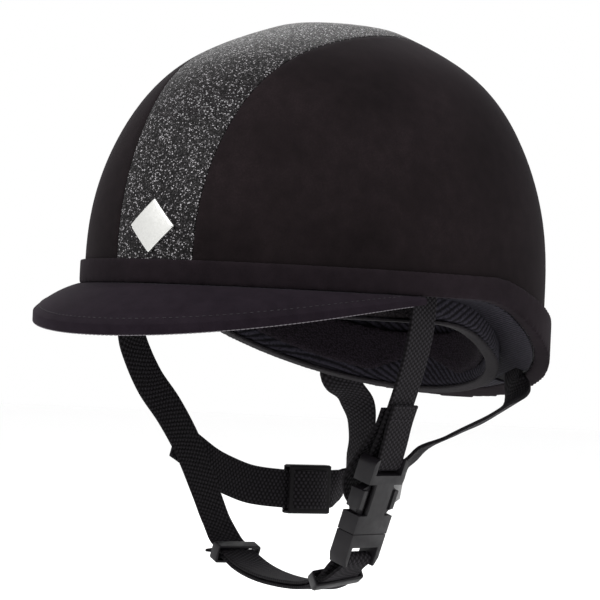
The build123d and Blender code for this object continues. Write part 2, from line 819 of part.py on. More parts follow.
# Prongs of the plug: spring arms with a catch and a pad that is squeezed through each window
prong_root = -socket_length + play / 2
catch_level = -window_top - window_length + play
pad_top = prong_root + prong_length - prong_tip
for side, name in ((-1, "buckle_prong_front"), (1, "buckle_prong_rear")):
    with BuildPart() as prong:
        with BuildSketch(buckle_plane.offset(-prong_depth / 2)):
            Polygon(
                (side * prong_inner, prong_root),
                (side * (prong_inner + prong_width), prong_root),
                (side * (prong_inner + prong_width), catch_level),
                (side * (throat_half_width + catch_reach), catch_level),
                (side * (half_width + catch_reach / 2), catch_level + prong_tip),
                (side * (half_width + catch_reach / 2), pad_top),
                (side * (prong_inner + prong_width / 2), prong_root + prong_length),
                (side * prong_inner, prong_root + prong_length),
                align=None,
            )
        extrude(amount=prong_depth)
        with BuildSketch(buckle_plane.offset(-pad_depth / 2)):
            Polygon(
                (side * (half_width - pad_width), catch_level + buckle_wall),
                (side * half_width, catch_level + prong_tip),
                (side * (half_width + catch_reach / 2), catch_level + prong_tip),
                (side * (half_width + catch_reach / 2), pad_top),
                (side * (half_width - pad_width), pad_top),
                align=None,
            )
        extrude(amount=pad_depth)
    prong.part.label = name
    export_step(prong.part, f"parts/{name}.step")

# Rear strap on the left: from the nape to a small clip behind the buckle
nape_out = Vector(cos(radians(nape_axis_turn)), sin(radians(nape_axis_turn)), 0)
nape_face = Vector(nape_anchor_x, nape_anchor_y, 0) + nape_out * (webbing_thickness / 2)
nape_drops = (-strap_end, 0, strap_end, 2 * strap_end, nape_exit_drop)
clip_run = unit((0.15, 0.85, 0.5))
clip_across = (0.45, -0.55, 0.7)
clip_middle = Vector(53.0, -20.0, -97.0)
left_rear_route = [
    ((nape_face.X, nape_face.Y, nape_anchor_z - drop), (nape_out.Y, -nape_out.X, 0)) for drop in nape_drops
] + [
    ((58.5, 81.0, -53.0), (0.88, -0.4, 0.3)),
    ((64.0, 68.0, -58.0), (0.85, -0.1, 0.45)),
    ((67.0, 50.0, -62.0), (0.85, -0.2, 0.48)),
    ((67.5, 27.5, -68.4), (0.88, -0.28, 0.38)),
    ((64.0, 3.5, -76.5), (0.86, -0.38, 0.32)),
    ((57.5, -8.0, -84.5), (0.68, -0.5, 0.53)),
    (tuple(clip_middle + clip_run * 6), clip_across),
    (tuple(clip_middle + clip_run * 2), clip_across),
]
rear_strap_left = joined(ribbon(left_rear_route, last=4), ribbon(left_rear_route, first=3)) - rivet_cut(anchors[2])
rear_strap_left.label = "rear_strap_left"
export_step(rear_strap_left, "parts/rear_strap_left.step")

# Short tab on the left: sewn inside the front strap, folded back behind the buckle to the clip
left_tab_route = [
    ((73.0, -48.0, -60.6), (0, 1, 0)),
    ((69.4, -48.0, -69.8), (0, 1, 0)),
    ((62.6, -49.0, -80.0), (0, 1, 0)),
    ((55.2, -49.0, -89.0), (0.1, 0.93, 0.28)),
    ((50.5, -43.0, -96.0), (0.2, 0.6, 0.77)),
    ((51.5, -34.0, -101.5), (0.2, -0.2, 0.95)),
    (tuple(clip_middle - clip_run * 6), clip_across),
    (tuple(clip_middle - clip_run * 2), clip_across),
]
rear_tab_left = ribbon(left_tab_route)
rear_tab_left.label = "rear_tab_left"
export_step(rear_tab_left, "parts/rear_tab_left.step")
clip_route = [
    (tuple(clip_middle - clip_run), clip_across),
    (tuple(clip_middle), clip_across),
    (tuple(clip_middle + clip_run), clip_across),
]
rear_clip_left = keeper(clip_route, 1, 0, clip_width, clip_depth, clip_length)
rear_clip_left.label = "rear_clip_left"
export_step(rear_clip_left, "parts/rear_clip_left.step")

# Rear strap on the right: sewn on the front strap, through a slider, then up to the nape
slider_run = unit((0.38, 0.92, 0))
slider_across = (0, 0, 1)
slider_middle = Vector(-62.0, 74.0, -107.8)
right_tab_route = [
    ((-81.9, -13.7, -82.6), (-0.08, 0.435, 0.897)),
    ((-80.6, 0.7, -89.5), (-0.08, 0.435, 0.897)),
    ((-79.0, 13.0, -96.5), (0, 0.35, 0.94)),
    ((-77.5, 28.5, -102.0), (0, 0.25, 0.97)),
    ((-74.5, 43.0, -105.9), (0, 0.15, 0.99)),
    (tuple(slider_middle - slider_run * (slider_length / 2)), slider_across),
    (tuple(slider_middle - slider_run * 3), slider_across),
]
rear_tab_right = ribbon(right_tab_route)
rear_tab_right.label = "rear_tab_right"
export_step(rear_tab_right, "parts/rear_tab_right.step")
slider_route = [
    (tuple(slider_middle - slider_run), slider_across),
    (tuple(slider_middle), slider_across),
    (tuple(slider_middle + slider_run), slider_across),
]
rear_slider_right = keeper(slider_route, 1, 0, slider_width, slider_depth, slider_length)
rear_slider_right.label = "rear_slider_right"
export_step(rear_slider_right, "parts/rear_slider_right.step")
right_rear_route = [
    (tuple(slider_middle + slider_run * 3), slider_across),
    (tuple(slider_middle + slider_run * (slider_length / 2)), slider_across),
    ((-56.4, 95.5, -105.4), (0.35, -0.3, 0.88)),
    ((-55.4, 103.8, -97.8), (0.75, -0.45, 0.5)),
    ((-54.0, 107.8, -87.0), (0.92, -0.38, 0)),
    ((-52.0, 107.0, -74.0), (0.97, -0.2, 0)),
    ((-51.5, 100.0, -60.0), (0.97, 0.2, 0)),
    ((-53.0, 89.5, -52.0), (0.86, 0.5, 0)),
] + [
    ((-nape_face.X, nape_face.Y, nape_anchor_z - drop), (nape_out.Y, nape_out.X, 0))
    for drop in reversed(nape_drops)
]
flat_start = len(right_rear_route) - 3
rear_strap_right = joined(
    ribbon(right_rear_route, last=flat_start + 1), ribbon(right_rear_route, first=flat_start)
) - rivet_cut(anchors[3])
rear_strap_right.label = "rear_strap_right"
export_step(rear_strap_right, "parts/rear_strap_right.step")
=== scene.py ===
# %% [markdown]
# A riding helmet in front of white paper. Dark suede covers its sides, a strip of glitter cloth runs over
# the crown, a padded band follows the rim, and a webbing harness hangs from four rivets and closes with a
# side-release buckle.
#
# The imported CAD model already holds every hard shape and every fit. This lesson dresses it: finishes for
# cloth and plastic, padding with soft rolls, woven straps that bend, and the thread in the seams.

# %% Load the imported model
import math

import bpy
from mathutils import Matrix, Vector


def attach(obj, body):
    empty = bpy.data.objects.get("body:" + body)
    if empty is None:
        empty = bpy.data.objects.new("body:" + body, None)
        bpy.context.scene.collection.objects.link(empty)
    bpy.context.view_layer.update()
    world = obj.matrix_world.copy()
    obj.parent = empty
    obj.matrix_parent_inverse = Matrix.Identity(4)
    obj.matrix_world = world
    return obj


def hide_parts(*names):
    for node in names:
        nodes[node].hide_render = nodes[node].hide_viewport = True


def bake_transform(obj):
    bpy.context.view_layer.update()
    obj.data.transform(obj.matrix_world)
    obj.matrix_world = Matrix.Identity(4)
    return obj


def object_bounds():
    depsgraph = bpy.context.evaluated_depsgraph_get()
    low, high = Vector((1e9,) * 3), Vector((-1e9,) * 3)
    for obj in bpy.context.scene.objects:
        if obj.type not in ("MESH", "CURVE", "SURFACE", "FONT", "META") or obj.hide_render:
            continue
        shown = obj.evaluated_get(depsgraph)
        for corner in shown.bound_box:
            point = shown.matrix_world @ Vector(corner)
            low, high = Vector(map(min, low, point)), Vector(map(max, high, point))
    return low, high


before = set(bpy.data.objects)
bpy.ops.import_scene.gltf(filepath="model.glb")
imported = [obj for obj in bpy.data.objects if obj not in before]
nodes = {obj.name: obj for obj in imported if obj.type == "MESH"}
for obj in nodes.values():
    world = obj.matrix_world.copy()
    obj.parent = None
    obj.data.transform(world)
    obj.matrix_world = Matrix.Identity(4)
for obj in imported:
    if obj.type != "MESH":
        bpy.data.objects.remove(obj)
cad_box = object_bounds()

# %% [markdown]
# The camera stands in front of the wearer's left side, a little below the rim, as for a product
# photograph. A long lens from 1.5 m away keeps near and far parts in proportion. Only two directions are
# needed: what lies to the right in the picture, and what lies behind the camera. The third follows from
# them, and the shift moves the helmet to its place in the frame without turning the camera.

# %% Camera
camera_distance = 1.5
camera_right = Vector((0.8158, 0.5766, 0.0462)).normalized()
camera_back = Vector((0.5779, -0.8158, -0.0242)).normalized()

camera_data = bpy.data.cameras.new("camera")
camera_data.lens = 183.83
camera_data.sensor_width = 36.0
camera_data.clip_end = 20.0
camera_data.shift_x = -0.0526
camera_data.shift_y = -0.0361
camera = bpy.data.objects.new("camera", camera_data)
bpy.context.scene.collection.objects.link(camera)
camera_right = (camera_right - camera_back * camera_right.dot(camera_back)).normalized()
camera_up = camera_back.cross(camera_right)
axes = Matrix((camera_right, camera_up, camera_back)).transposed().to_4x4()
camera.matrix_world = Matrix.Translation(camera_back * camera_distance) @ axes
bpy.context.scene.camera = camera
print("camera", [round(value, 3) for value in camera.matrix_world.translation])

# %% [markdown]
# White paper needs a white world as much as a white floor: the world shows behind the helmet and lights
# it from all sides. The floor is a wide disc, low enough for the buckle's plug to drop free of its socket.

# %% Floor and world
floor_drop = 0.045
bpy.ops.mesh.primitive_circle_add(
    vertices=64, radius=6.0, fill_type="NGON", location=(0, 0, cad_box[0][2] - floor_drop)
)
floor = bpy.context.object
floor.name = "floor"
floor_paper = bpy.data.materials.new("floor_paper")
floor_paper.use_nodes = True
paper_shader = floor_paper.node_tree.nodes["Principled BSDF"]
paper_shader.inputs["Base Color"].default_value = (0.98, 0.98, 0.98, 1)
paper_shader.inputs["Roughness"].default_value = 0.9
floor.data.materials.append(floor_paper)

world = bpy.data.worlds.new("studio")
world.use_nodes = True
world.node_tree.nodes["Background"].inputs["Color"].default_value = (1, 1, 1, 1)
world.node_tree.nodes["Background"].inputs["Strength"].default_value = 1.0
bpy.context.scene.world = world
bpy.context.scene.view_settings.view_transform = "Standard"
print("floor at", round(floor.location.z, 4))

# %% [markdown]
# In such even light a black helmet would look like a cut-out. Three large, weak lamps give it form: one
# above the peak, one at the buckle's side, and one from behind that grazes the nap of the suede.


# %% Lamps
def soft_lamp(name, place, size, watts):
    """A square lamp that looks at the middle of the helmet."""
    lamp_data = bpy.data.lights.new(name, "AREA")
    lamp_data.size = size
    lamp_data.energy = watts
    lamp = bpy.data.objects.new(name, lamp_data)
    lamp.location = place
    lamp.rotation_euler = (-Vector(place)).to_track_quat("-Z", "Y").to_euler()
    bpy.context.scene.collection.objects.link(lamp)


soft_lamp("lamp_above_front", (-0.3, -1.2, 1.1), 0.9, 20)
soft_lamp("lamp_left", (1.5, 0.3, 0.9), 0.8, 8)
soft_lamp("lamp_behind", (-0.9, 1.1, 1.1), 0.8, 10)
print("lamps", len(bpy.data.lights))

# %% [markdown]
# Every finish is a small node tree. Writing each one out link by link would hide what it does, so one
# class holds the tree and has a short method for each habit: drifting colour, drifting gloss, grain, and
# the round cells that stand for loops, beads and flakes. All patterns read Object coordinates, which are
# metres here, so a scale of 1000 is a pattern about a millimetre wide.


# %% Finish helper
class Finish:
    """One material and short ways to add its nodes."""

    def __init__(self, name, colour, roughness, metallic=0.0):
        self.material = bpy.data.materials.new(name)
        self.material.use_nodes = True
        self.tree = self.material.node_tree
        self.shader = self.tree.nodes["Principled BSDF"]
        self.shader.inputs["Base Color"].default_value = (*colour, 1)
        self.shader.inputs["Roughness"].default_value = roughness
        self.shader.inputs["Metallic"].default_value = metallic
        self.coords = self.tree.nodes.new("ShaderNodeTexCoord").outputs["Object"]

    def node(self, kind, inputs, **settings):
        """A new node, its inputs given as values or as sockets to link."""
        made = self.tree.nodes.new(kind)
        for key, value in settings.items():
            setattr(made, key, value)
        for key, value in inputs.items():
            if isinstance(value, bpy.types.NodeSocket):
                self.tree.links.new(value, made.inputs[key])
            else:
                made.inputs[key].default_value = value
        return made

    def noise(self, scale, detail=3.0):
        """Soft noise."""
        inputs = {"Vector": self.coords, "Scale": scale, "Detail": detail}
        return self.node("ShaderNodeTexNoise", inputs).outputs["Fac"]

    def cells(self, scale):
        """Round cells, dark in the middle and pale at their edges."""
        return self.node("ShaderNodeTexVoronoi", {"Vector": self.coords, "Scale": scale}).outputs["Distance"]

    def ramp(self, factor, stops):
        """Colours along a factor, as (position, colour)."""
        made = self.node("ShaderNodeValToRGB", {"Fac": factor})
        elements = made.color_ramp.elements
        for element, (position, colour) in zip(elements, stops[:2]):
            element.position, element.color = position, (*colour, 1)
        for position, colour in stops[2:]:
            elements.new(position).color = (*colour, 1)
        return made.outputs["Color"]

    def math(self, operation, first, second=0.0):
        """One arithmetic step."""
        return self.node("ShaderNodeMath", {0: first, 1: second}, operation=operation).outputs[0]

    def weighted(self, first, *others):
        """Sum of (socket, weight) layers."""
        total = self.math("MULTIPLY", *first)
        for layer in others:
            total = self.math("ADD", total, self.math("MULTIPLY", *layer))
        return total

    def colour(self, factor, *stops):
        """Base colour from a factor and its (position, colour) stops."""
        self.tree.links.new(self.ramp(factor, stops), self.shader.inputs["Base Color"])

    def rough(self, factor, low, high):
        """Roughness from a factor, between two (position, value) stops."""
        stops = [(position, (value, value, value)) for position, value in (low, high)]
        self.tree.links.new(self.ramp(factor, stops), self.shader.inputs["Roughness"])

    def bump(self, height, distance, strength):
        """Raise the surface by a height."""
        made = self.node("ShaderNodeBump", {"Height": height, "Distance": distance, "Strength": strength})
        self.tree.links.new(made.outputs["Normal"], self.shader.inputs["Normal"])

    def sheen(self, weight, roughness, tint):
        """Pale edge light of a napped cloth."""
        self.shader.inputs["Sheen Weight"].default_value = weight
        self.shader.inputs["Sheen Roughness"].default_value = roughness
        self.shader.inputs["Sheen Tint"].default_value = (*tint, 1)

    def specular(self, level):
        """Strength of the surface's own reflection."""
        self.shader.inputs["Specular IOR Level"].default_value = level


print("finish helper ready")

# %% [markdown]
# Suede is short nap that has been brushed this way and that. Large soft blotches change its depth, a
# finer mottling breaks them up, and very fine noise lifts the nap itself. Where a blotch is palest, worn
# specks show. The plain reflection of the default shader would turn near-black cloth grey in this white
# room, so it is nearly switched off. Side covers, rim band and peak differ slightly in tone.

# %% Suede
drift_low, drift_high = 0.3, 0.7


def suede_finish(name, dark, pale):
    """Brushed dark suede between two near-black tones."""
    cloth = Finish(name, dark, 0.95)
    blotch = cloth.noise(11.0)
    nap_depth = cloth.weighted((blotch, 0.5), (cloth.noise(160.0, 5.0), 0.28), (cloth.noise(1500.0), 0.22))
    specks = cloth.cells(1300.0)
    worn_zone = cloth.ramp(blotch, [(0.50, (0, 0, 0)), (0.72, (1, 1, 1))])
    worn = cloth.math("MULTIPLY", cloth.math("MULTIPLY", worn_zone, specks), 0.22)
    dusty = tuple(1.9 * value for value in pale)
    cloth.colour(cloth.math("ADD", nap_depth, worn), (0.36, dark), (0.62, pale), (0.86, dusty))
    cloth.bump(cloth.noise(2600.0, 2.0), 0.00012, 0.35)
    cloth.sheen(0.015, 0.5, (0.60, 0.48, 0.62))
    cloth.specular(0.06)
    return cloth


suede = suede_finish("suede_cover", (0.0030, 0.0020, 0.0022), (0.0078, 0.0054, 0.0060))
band_suede = suede_finish("suede_band", (0.0050, 0.0034, 0.0044), (0.0108, 0.0076, 0.0096))
peak_suede = suede_finish("suede_peak", (0.0058, 0.0038, 0.0060), (0.0118, 0.0082, 0.0120))
print("suede in three tones")

# %% [markdown]
# Glitter cloth is black with a flake on every thread. Voronoi cells half a millimetre across stand for
# the flakes. Each cell has a random colour of its own: its first channel decides how pale the flake is,
# its second how glossy, and its third how far it is raised. Most stay black and a few shine.

# %% Glitter cloth
flake_scale = 2000.0
glitter = Finish("glitter_cloth", (0.01, 0.01, 0.012), 0.6)
flakes = glitter.node("ShaderNodeTexVoronoi", {"Vector": glitter.coords, "Scale": flake_scale})
flake_values = glitter.node("ShaderNodeSeparateColor", {"Color": flakes.outputs["Color"]})
patch = glitter.math("MULTIPLY", glitter.math("SUBTRACT", glitter.noise(55.0, 4.0), 0.5), 0.12)
glitter.colour(
    glitter.math("ADD", flake_values.outputs["Red"], patch),
    (0.30, (0.0016, 0.0012, 0.0014)),
    (0.68, (0.0070, 0.0062, 0.0066)),
    (0.89, (0.030, 0.028, 0.029)),
    (0.99, (0.30, 0.29, 0.30)),
)
glitter.rough(flake_values.outputs["Green"], (0.0, 0.42), (1.0, 0.85))
glitter.bump(flake_values.outputs["Blue"], 0.00012, 0.5)
glitter.specular(0.1)
print("glitter flakes per metre", flake_scale)

# %% [markdown]
# Webbing is woven in narrow columns. In each column the thread rises and dips every 2.4 mm, and the next
# column does so half a step later, like bricks in a wall. A pattern fixed in space would slide over a
# curved strap, so this one reads the strap's own UV map: u counts metres along it, and v runs from edge
# to edge.

# %% Webbing cloth
thread_step = 0.0024
column_count = 11.0
webbing = Finish("webbing_cloth", (0.012, 0.012, 0.014), 0.78)
strap_map = webbing.tree.nodes.new("ShaderNodeUVMap")
strap_map.uv_map = "strap"
strap_place = webbing.node("ShaderNodeSeparateXYZ", {"Vector": strap_map.outputs["UV"]})
columns = webbing.math("MULTIPLY", strap_place.outputs["Y"], column_count)
half_step = webbing.math("MULTIPLY", webbing.math("FLOOR", columns), math.pi)
along = webbing.math("MULTIPLY", strap_place.outputs["X"], 2 * math.pi / thread_step)
rise = webbing.math("SINE", webbing.math("ADD", along, half_step))
across = webbing.math("ABSOLUTE", webbing.math("SINE", webbing.math("MULTIPLY", columns, math.pi)))
weave = webbing.math("MULTIPLY", webbing.math("ADD", rise, 1.0), webbing.math("ADD", across, 0.4))
webbing.colour(
    webbing.weighted((weave, 0.22), (webbing.noise(900.0), 0.4)),
    (0.22, (0.0016, 0.0012, 0.0016)),
    (0.85, (0.0200, 0.0180, 0.0210)),
)
webbing.bump(weave, 0.00022, 0.7)
webbing.sheen(0.02, 0.4, (0.55, 0.50, 0.62))
webbing.specular(0.08)
print("webbing columns", column_count)

# %% [markdown]
# The soft inside has its own cloths. Towelling at the forehead is a field of loops, which cells show
# well when their middles are pale. The sides and back are a knit mesh: waves for the slanting rows,
# multiplied by cells for the holes between them.

# %% Towelling and knit
terry = Finish("terry_cloth", (0.03, 0.03, 0.033), 0.98)
loops = terry.cells(900.0)
terry.colour(loops, (0.0, (0.028, 0.024, 0.026)), (0.9, (0.005, 0.004, 0.005)))
terry.bump(loops, 0.0006, 1.0)

knit = Finish("knit_mesh", (0.02, 0.022, 0.04), 0.85)
slanted = knit.node("ShaderNodeMapping", {"Vector": knit.coords, "Rotation": (0.6, 0.5, 0.8)})
knit_rows = knit.node(
    "ShaderNodeTexWave",
    {"Vector": slanted.outputs["Vector"], "Scale": 130.0, "Distortion": 0.6, "Detail": 1.0},
)
mesh_depth = knit.math("MULTIPLY", knit_rows.outputs["Fac"], knit.cells(700.0))
knit.colour(mesh_depth, (0.0, (0.0034, 0.0030, 0.0042)), (0.45, (0.0230, 0.0210, 0.0290)))
knit.bump(mesh_depth, 0.0005, 0.9)
print("towelling and knit")

# %% [markdown]
# The nape pad is covered in a textured purple-black cloth, the crown is lined with thin plain cloth, and
# a slightly paler woven tape binds the headband's lower edge. They are as matt as the other cloths.

# %% Nape, lining and binding cloths
nape_cloth = Finish("nape_pad_cloth", (0.03, 0.024, 0.034), 0.95)
knots = nape_cloth.cells(1100.0)
nape_cloth.colour(knots, (0.0, (0.020, 0.015, 0.021)), (0.8, (0.005, 0.004, 0.005)))
nape_cloth.bump(knots, 0.0004, 0.9)

lining = Finish("lining_cloth", (0.012, 0.012, 0.014), 0.92)
lining.colour(lining.noise(700.0), (drift_low, (0.006, 0.005, 0.006)), (drift_high, (0.014, 0.012, 0.015)))
lining.bump(lining.noise(1500.0, 2.0), 0.0002, 0.6)

binding = Finish("edge_binding", (0.16, 0.155, 0.165), 0.8)
binding.colour(
    binding.noise(800.0, 2.0), (drift_low, (0.0090, 0.0078, 0.0092)), (drift_high, (0.0170, 0.0150, 0.0172))
)
binding.bump(binding.noise(1600.0, 2.0), 0.0002, 0.5)
for cloth in (terry, knit, nape_cloth, lining, binding):
    cloth.specular(0.08)
print("inner cloths", 5)

# %% [markdown]
# Buckle and keepers are moulded with a fine grain that scatters light. The slider is duller, being rubbed
# by its strap, and the small clip is polished. Gloss drifts a little on the buckle, keepers and clip, as on
# real mouldings.

# %% Plastics
plastic = Finish("buckle_plastic", (0.022, 0.022, 0.024), 0.42)
plastic.rough(plastic.noise(300.0), (drift_low, 0.36), (drift_high, 0.5))
plastic.colour(
    plastic.noise(60.0), (drift_low, (0.0034, 0.0028, 0.0038)), (drift_high, (0.0062, 0.0052, 0.0068))
)
plastic.bump(plastic.noise(3200.0, 2.0), 0.00005, 0.4)
plastic.specular(0.20)

dull_plastic = Finish("slider_plastic", (0.005, 0.004, 0.005), 0.62)
dull_plastic.colour(
    dull_plastic.noise(90.0), (drift_low, (0.0028, 0.0022, 0.0028)), (drift_high, (0.0048, 0.0040, 0.0050))
)
dull_plastic.bump(dull_plastic.noise(3200.0, 2.0), 0.00005, 0.4)
dull_plastic.specular(0.12)

gloss_plastic = Finish("clip_plastic", (0.014, 0.014, 0.015), 0.18)
gloss_plastic.rough(gloss_plastic.noise(200.0), (drift_low, 0.14), (drift_high, 0.24))
gloss_plastic.bump(gloss_plastic.noise(500.0), 0.00004, 0.3)
print("plastics", 3)

# %% [markdown]
# The plate on the glitter panel is smooth satin metal, left bare. Under the covers lie the moulded shell,
# the bead foam of the liner, the board in the peak and the steel of the rivets. They hardly show, but
# anyone who looks in from below or takes a cover off meets them.

# %% Plate and hidden parts
plate = Finish("badge_metal", (0.62, 0.62, 0.6), 0.3, 0.9)
plate.rough(plate.noise(900.0, 4.0), (drift_low, 0.30), (drift_high, 0.38))
plate.bump(plate.noise(1800.0), 0.00001, 0.3)
shell_plastic = Finish("shell_plastic", (0.03, 0.03, 0.033), 0.35)
shell_plastic.bump(shell_plastic.noise(400.0), 0.0001, 0.3)
foam = Finish("liner_foam", (0.05, 0.05, 0.052), 0.9)
foam.bump(foam.cells(330.0), 0.0006, 0.7)
steel = Finish("rivet_steel", (0.5, 0.5, 0.5), 0.32, 1.0)
steel.bump(steel.noise(900.0), 0.00004, 0.4)
board = Finish("peak_board", (0.03, 0.03, 0.032), 0.7)
board.bump(board.noise(600.0), 0.0001, 0.4)
hidden_parts = {
    "outer_shell": shell_plastic,
    "impact_liner": foam,
    "harness_rivets": steel,
    "harness_washers": steel,
    "peak_board": board,
}
for node_name, finish in hidden_parts.items():
    for material_slot in nodes[node_name].material_slots:
        material_slot.material = finish.material
print("CAD nodes that stay", list(hidden_parts))

# %% [markdown]
# The covers, the peak and the hard fittings already have their real shape in the CAD model, but their
# edges are knife-sharp and catch no light. So each is copied, its loose triangles are merged into one
# skin, and a narrow bevel rolls its edges: wider for folded cloth, finer for the plate. The copy takes
# the place of its CAD node and rides on the same body.


# %% Copies with rolled edges
sharp_angle = math.radians(40)


def choose(piece):
    """Make one piece the only selected and the active one."""
    bpy.ops.object.select_all(action="DESELECT")
    piece.select_set(True)
    bpy.context.view_layer.objects.active = piece


def merged_copy(node_name, name):
    """A closed copy of a CAD node's mesh as an object of its own."""
    piece = bpy.data.objects.new(name, nodes[node_name].data.copy())
    bpy.context.scene.collection.objects.link(piece)
    choose(piece)
    bpy.ops.object.mode_set(mode="EDIT")
    bpy.ops.mesh.select_all(action="SELECT")
    bpy.ops.mesh.remove_doubles(threshold=0.00001)
    bpy.ops.mesh.normals_make_consistent(inside=False)
    bpy.ops.object.mode_set(mode="OBJECT")
    return piece


def apply(piece, kind, **settings):
    """Add one modifier with its settings and apply it."""
    modifier = piece.modifiers.new(kind.lower(), kind)
    for key, value in settings.items():
        setattr(modifier, key, value)
    choose(piece)
    bpy.ops.object.modifier_apply(modifier=modifier.name)


def rolled_copy(node_name, name, roll, segments):
    """A copy whose sharp edges are rounded by a bevel."""
    piece = merged_copy(node_name, name)
    apply(
        piece,
        "BEVEL",
        width=roll,
        segments=segments,
        limit_method="ANGLE",
        angle_limit=sharp_angle,
        use_clamp_overlap=True,
    )
    return piece


def dress(piece, finish, slot, body, *replaced):
    """Give a piece its finish, its body unless it bends, and the nodes it stands for. The slot is not used.
    """
    piece.data.materials.clear()
    piece.data.materials.append(finish.material)
    choose(piece)
    bpy.ops.object.shade_smooth_by_angle(angle=sharp_angle)
    if body:
        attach(piece, body)
    if replaced:
        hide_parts(*replaced)
    print(piece.name, len(piece.data.polygons), "faces")
    return piece


# %% Covers, linings and the peak
for node_name, name, roll, segments, finish, slot in (
    ("centre_panel", "panel_cloth", 0.0004, 2, glitter, "glitter_fabric"),
    ("side_cover_left", "suede_left", 0.0005, 2, suede, "suede"),
    ("side_cover_right", "suede_right", 0.0005, 2, suede, "suede"),
    ("peak_cover", "peak_suede", 0.0004, 3, peak_suede, "suede"),
    ("peak_lining", "peak_underside", 0.0003, 2, lining, "lining_fabric"),
    ("crown_lining", "crown_cloth", 0.0005, 2, lining, "lining_fabric"),
    ("rim_lining", "rim_cloth", 0.0005, 2, knit, "lining_fabric"),
):
    dress(rolled_copy(node_name, name, roll, segments), finish, slot, "helmet", node_name)

# %% Plate, buckle, keepers, slider and clip
for node_name, name, roll, segments, finish, slot, body in (
    ("chin_keeper", "far_keeper", 0.00045, 3, plastic, "plastic", "keeper"),
    ("buckle_keeper", "near_keeper", 0.00045, 3, plastic, "plastic", "plug"),
    ("buckle_socket", "socket", 0.00045, 3, plastic, "plastic", "harness"),
    ("buckle_plug", "plug_base", 0.00045, 3, plastic, "plastic", "plug"),
    ("buckle_prong_front", "prong_ahead", 0.00045, 3, plastic, "plastic", "prong_front"),
    ("buckle_prong_rear", "prong_behind", 0.00045, 3, plastic, "plastic", "prong_rear"),
    ("rear_slider_right", "slider", 0.0009, 4, dull_plastic, "plastic", "harness"),
    ("rear_clip_left", "clip", 0.0005, 3, gloss_plastic, "gloss_clip", "harness"),
    ("badge", "badge_plate", 0.0003, 3, plate, "badge_plate", "helmet"),
):
    dress(rolled_copy(node_name, name, roll, segments), finish, slot, body, node_name)

# %% [markdown]
# Padding has no edges at all: foam under cloth swells round every corner. A bevel would leave flat faces
# between its rolls, so these pieces are remeshed into an even skin of small squares and then relaxed,
# which turns each corner into one soft curve. Thin padding is little more than a millimetre from its
# neighbours, so it is relaxed rather than blown up by a cloth simulation.


# %% Padded pieces
def soft_copy(node_name, name, voxel, rounds):
    """A remeshed and relaxed copy of a CAD node."""
    piece = merged_copy(node_name, name)
    apply(piece, "REMESH", mode="VOXEL", voxel_size=voxel)
    apply(piece, "SMOOTH", factor=0.5, iterations=rounds)
    return piece


for node_name, name, voxel, rounds, finish, slot, fill in (
    ("rim_band", "rim_roll", 0.0011, 6, band_suede, "band_fabric", 0.5),
    ("headband_front", "brow_pad", 0.0014, 6, terry, "terry", 0.6),
    ("headband_rear", "side_pad", 0.0016, 6, knit, "mesh", 0.6),
    ("nape_pad", "nape_roll", 0.0014, 8, nape_cloth, "pad_fabric", 0.5),
):
    pad = dress(soft_copy(node_name, name, voxel, rounds), finish, slot, "helmet", node_name)

# %% Bound edge of the headband
bound_edge = soft_copy("headband_binding", "edge_binding", 0.0007, 3)
dress(bound_edge, binding, "binding", "helmet", "headband_binding")

# %% [markdown]
# A strap keeps its width and thickness wherever it goes, and only its route changes. A route is a list
# of points in millimetres, each with the direction of the strap's width there. First comes a smooth line
# through those points: a cubic between each two, with its pull at a point taken from both neighbours.

# %% Smooth line through a route
line_step = 0.0022


def unit(vector):
    """Length one."""
    return Vector(vector).normalized()


def smooth_line(points):
    """Places every few millimetres on a smooth line, each with its share of the way through the list."""
    line = []
    last = len(points) - 1
    for index in range(last):
        start, stop = points[index], points[index + 1]
        length = (stop - start).length
        pull_in = pull_out = stop - start
        if index:
            before = points[index - 1]
            pull_in = (stop - before) * (length / (length + (start - before).length))
        if index + 1 < last:
            after = points[index + 2]
            pull_out = (after - start) * (length / ((after - stop).length + length))
        count = max(1, round(length / line_step))
        for part in range(count):
            t = part / count
            near = (2 * t**3 - 3 * t**2 + 1) * start + (t**3 - 2 * t**2 + t) * pull_in
            far = (-2 * t**3 + 3 * t**2) * stop + (t**3 - t**2) * pull_out
            line.append((near + far, index + t))
    line.append((points[last].copy(), float(last)))
    return line


print("a line step is", line_step, "m")

# %% [markdown]
# The strap itself starts as a flat grid with one row for each place on the line. Each row is moved to its
# place and turned across the run, which a curve with a bevel couldn't do without twisting. Solidify gives
# the thickness, and a bevel rounds the long edges. The UV map that the weave reads is filled on the way.

# %% Webbing
strap_width = 0.0198
strap_thickness = 0.0015
strap_edge_roll = 0.00045
strap_columns = 8


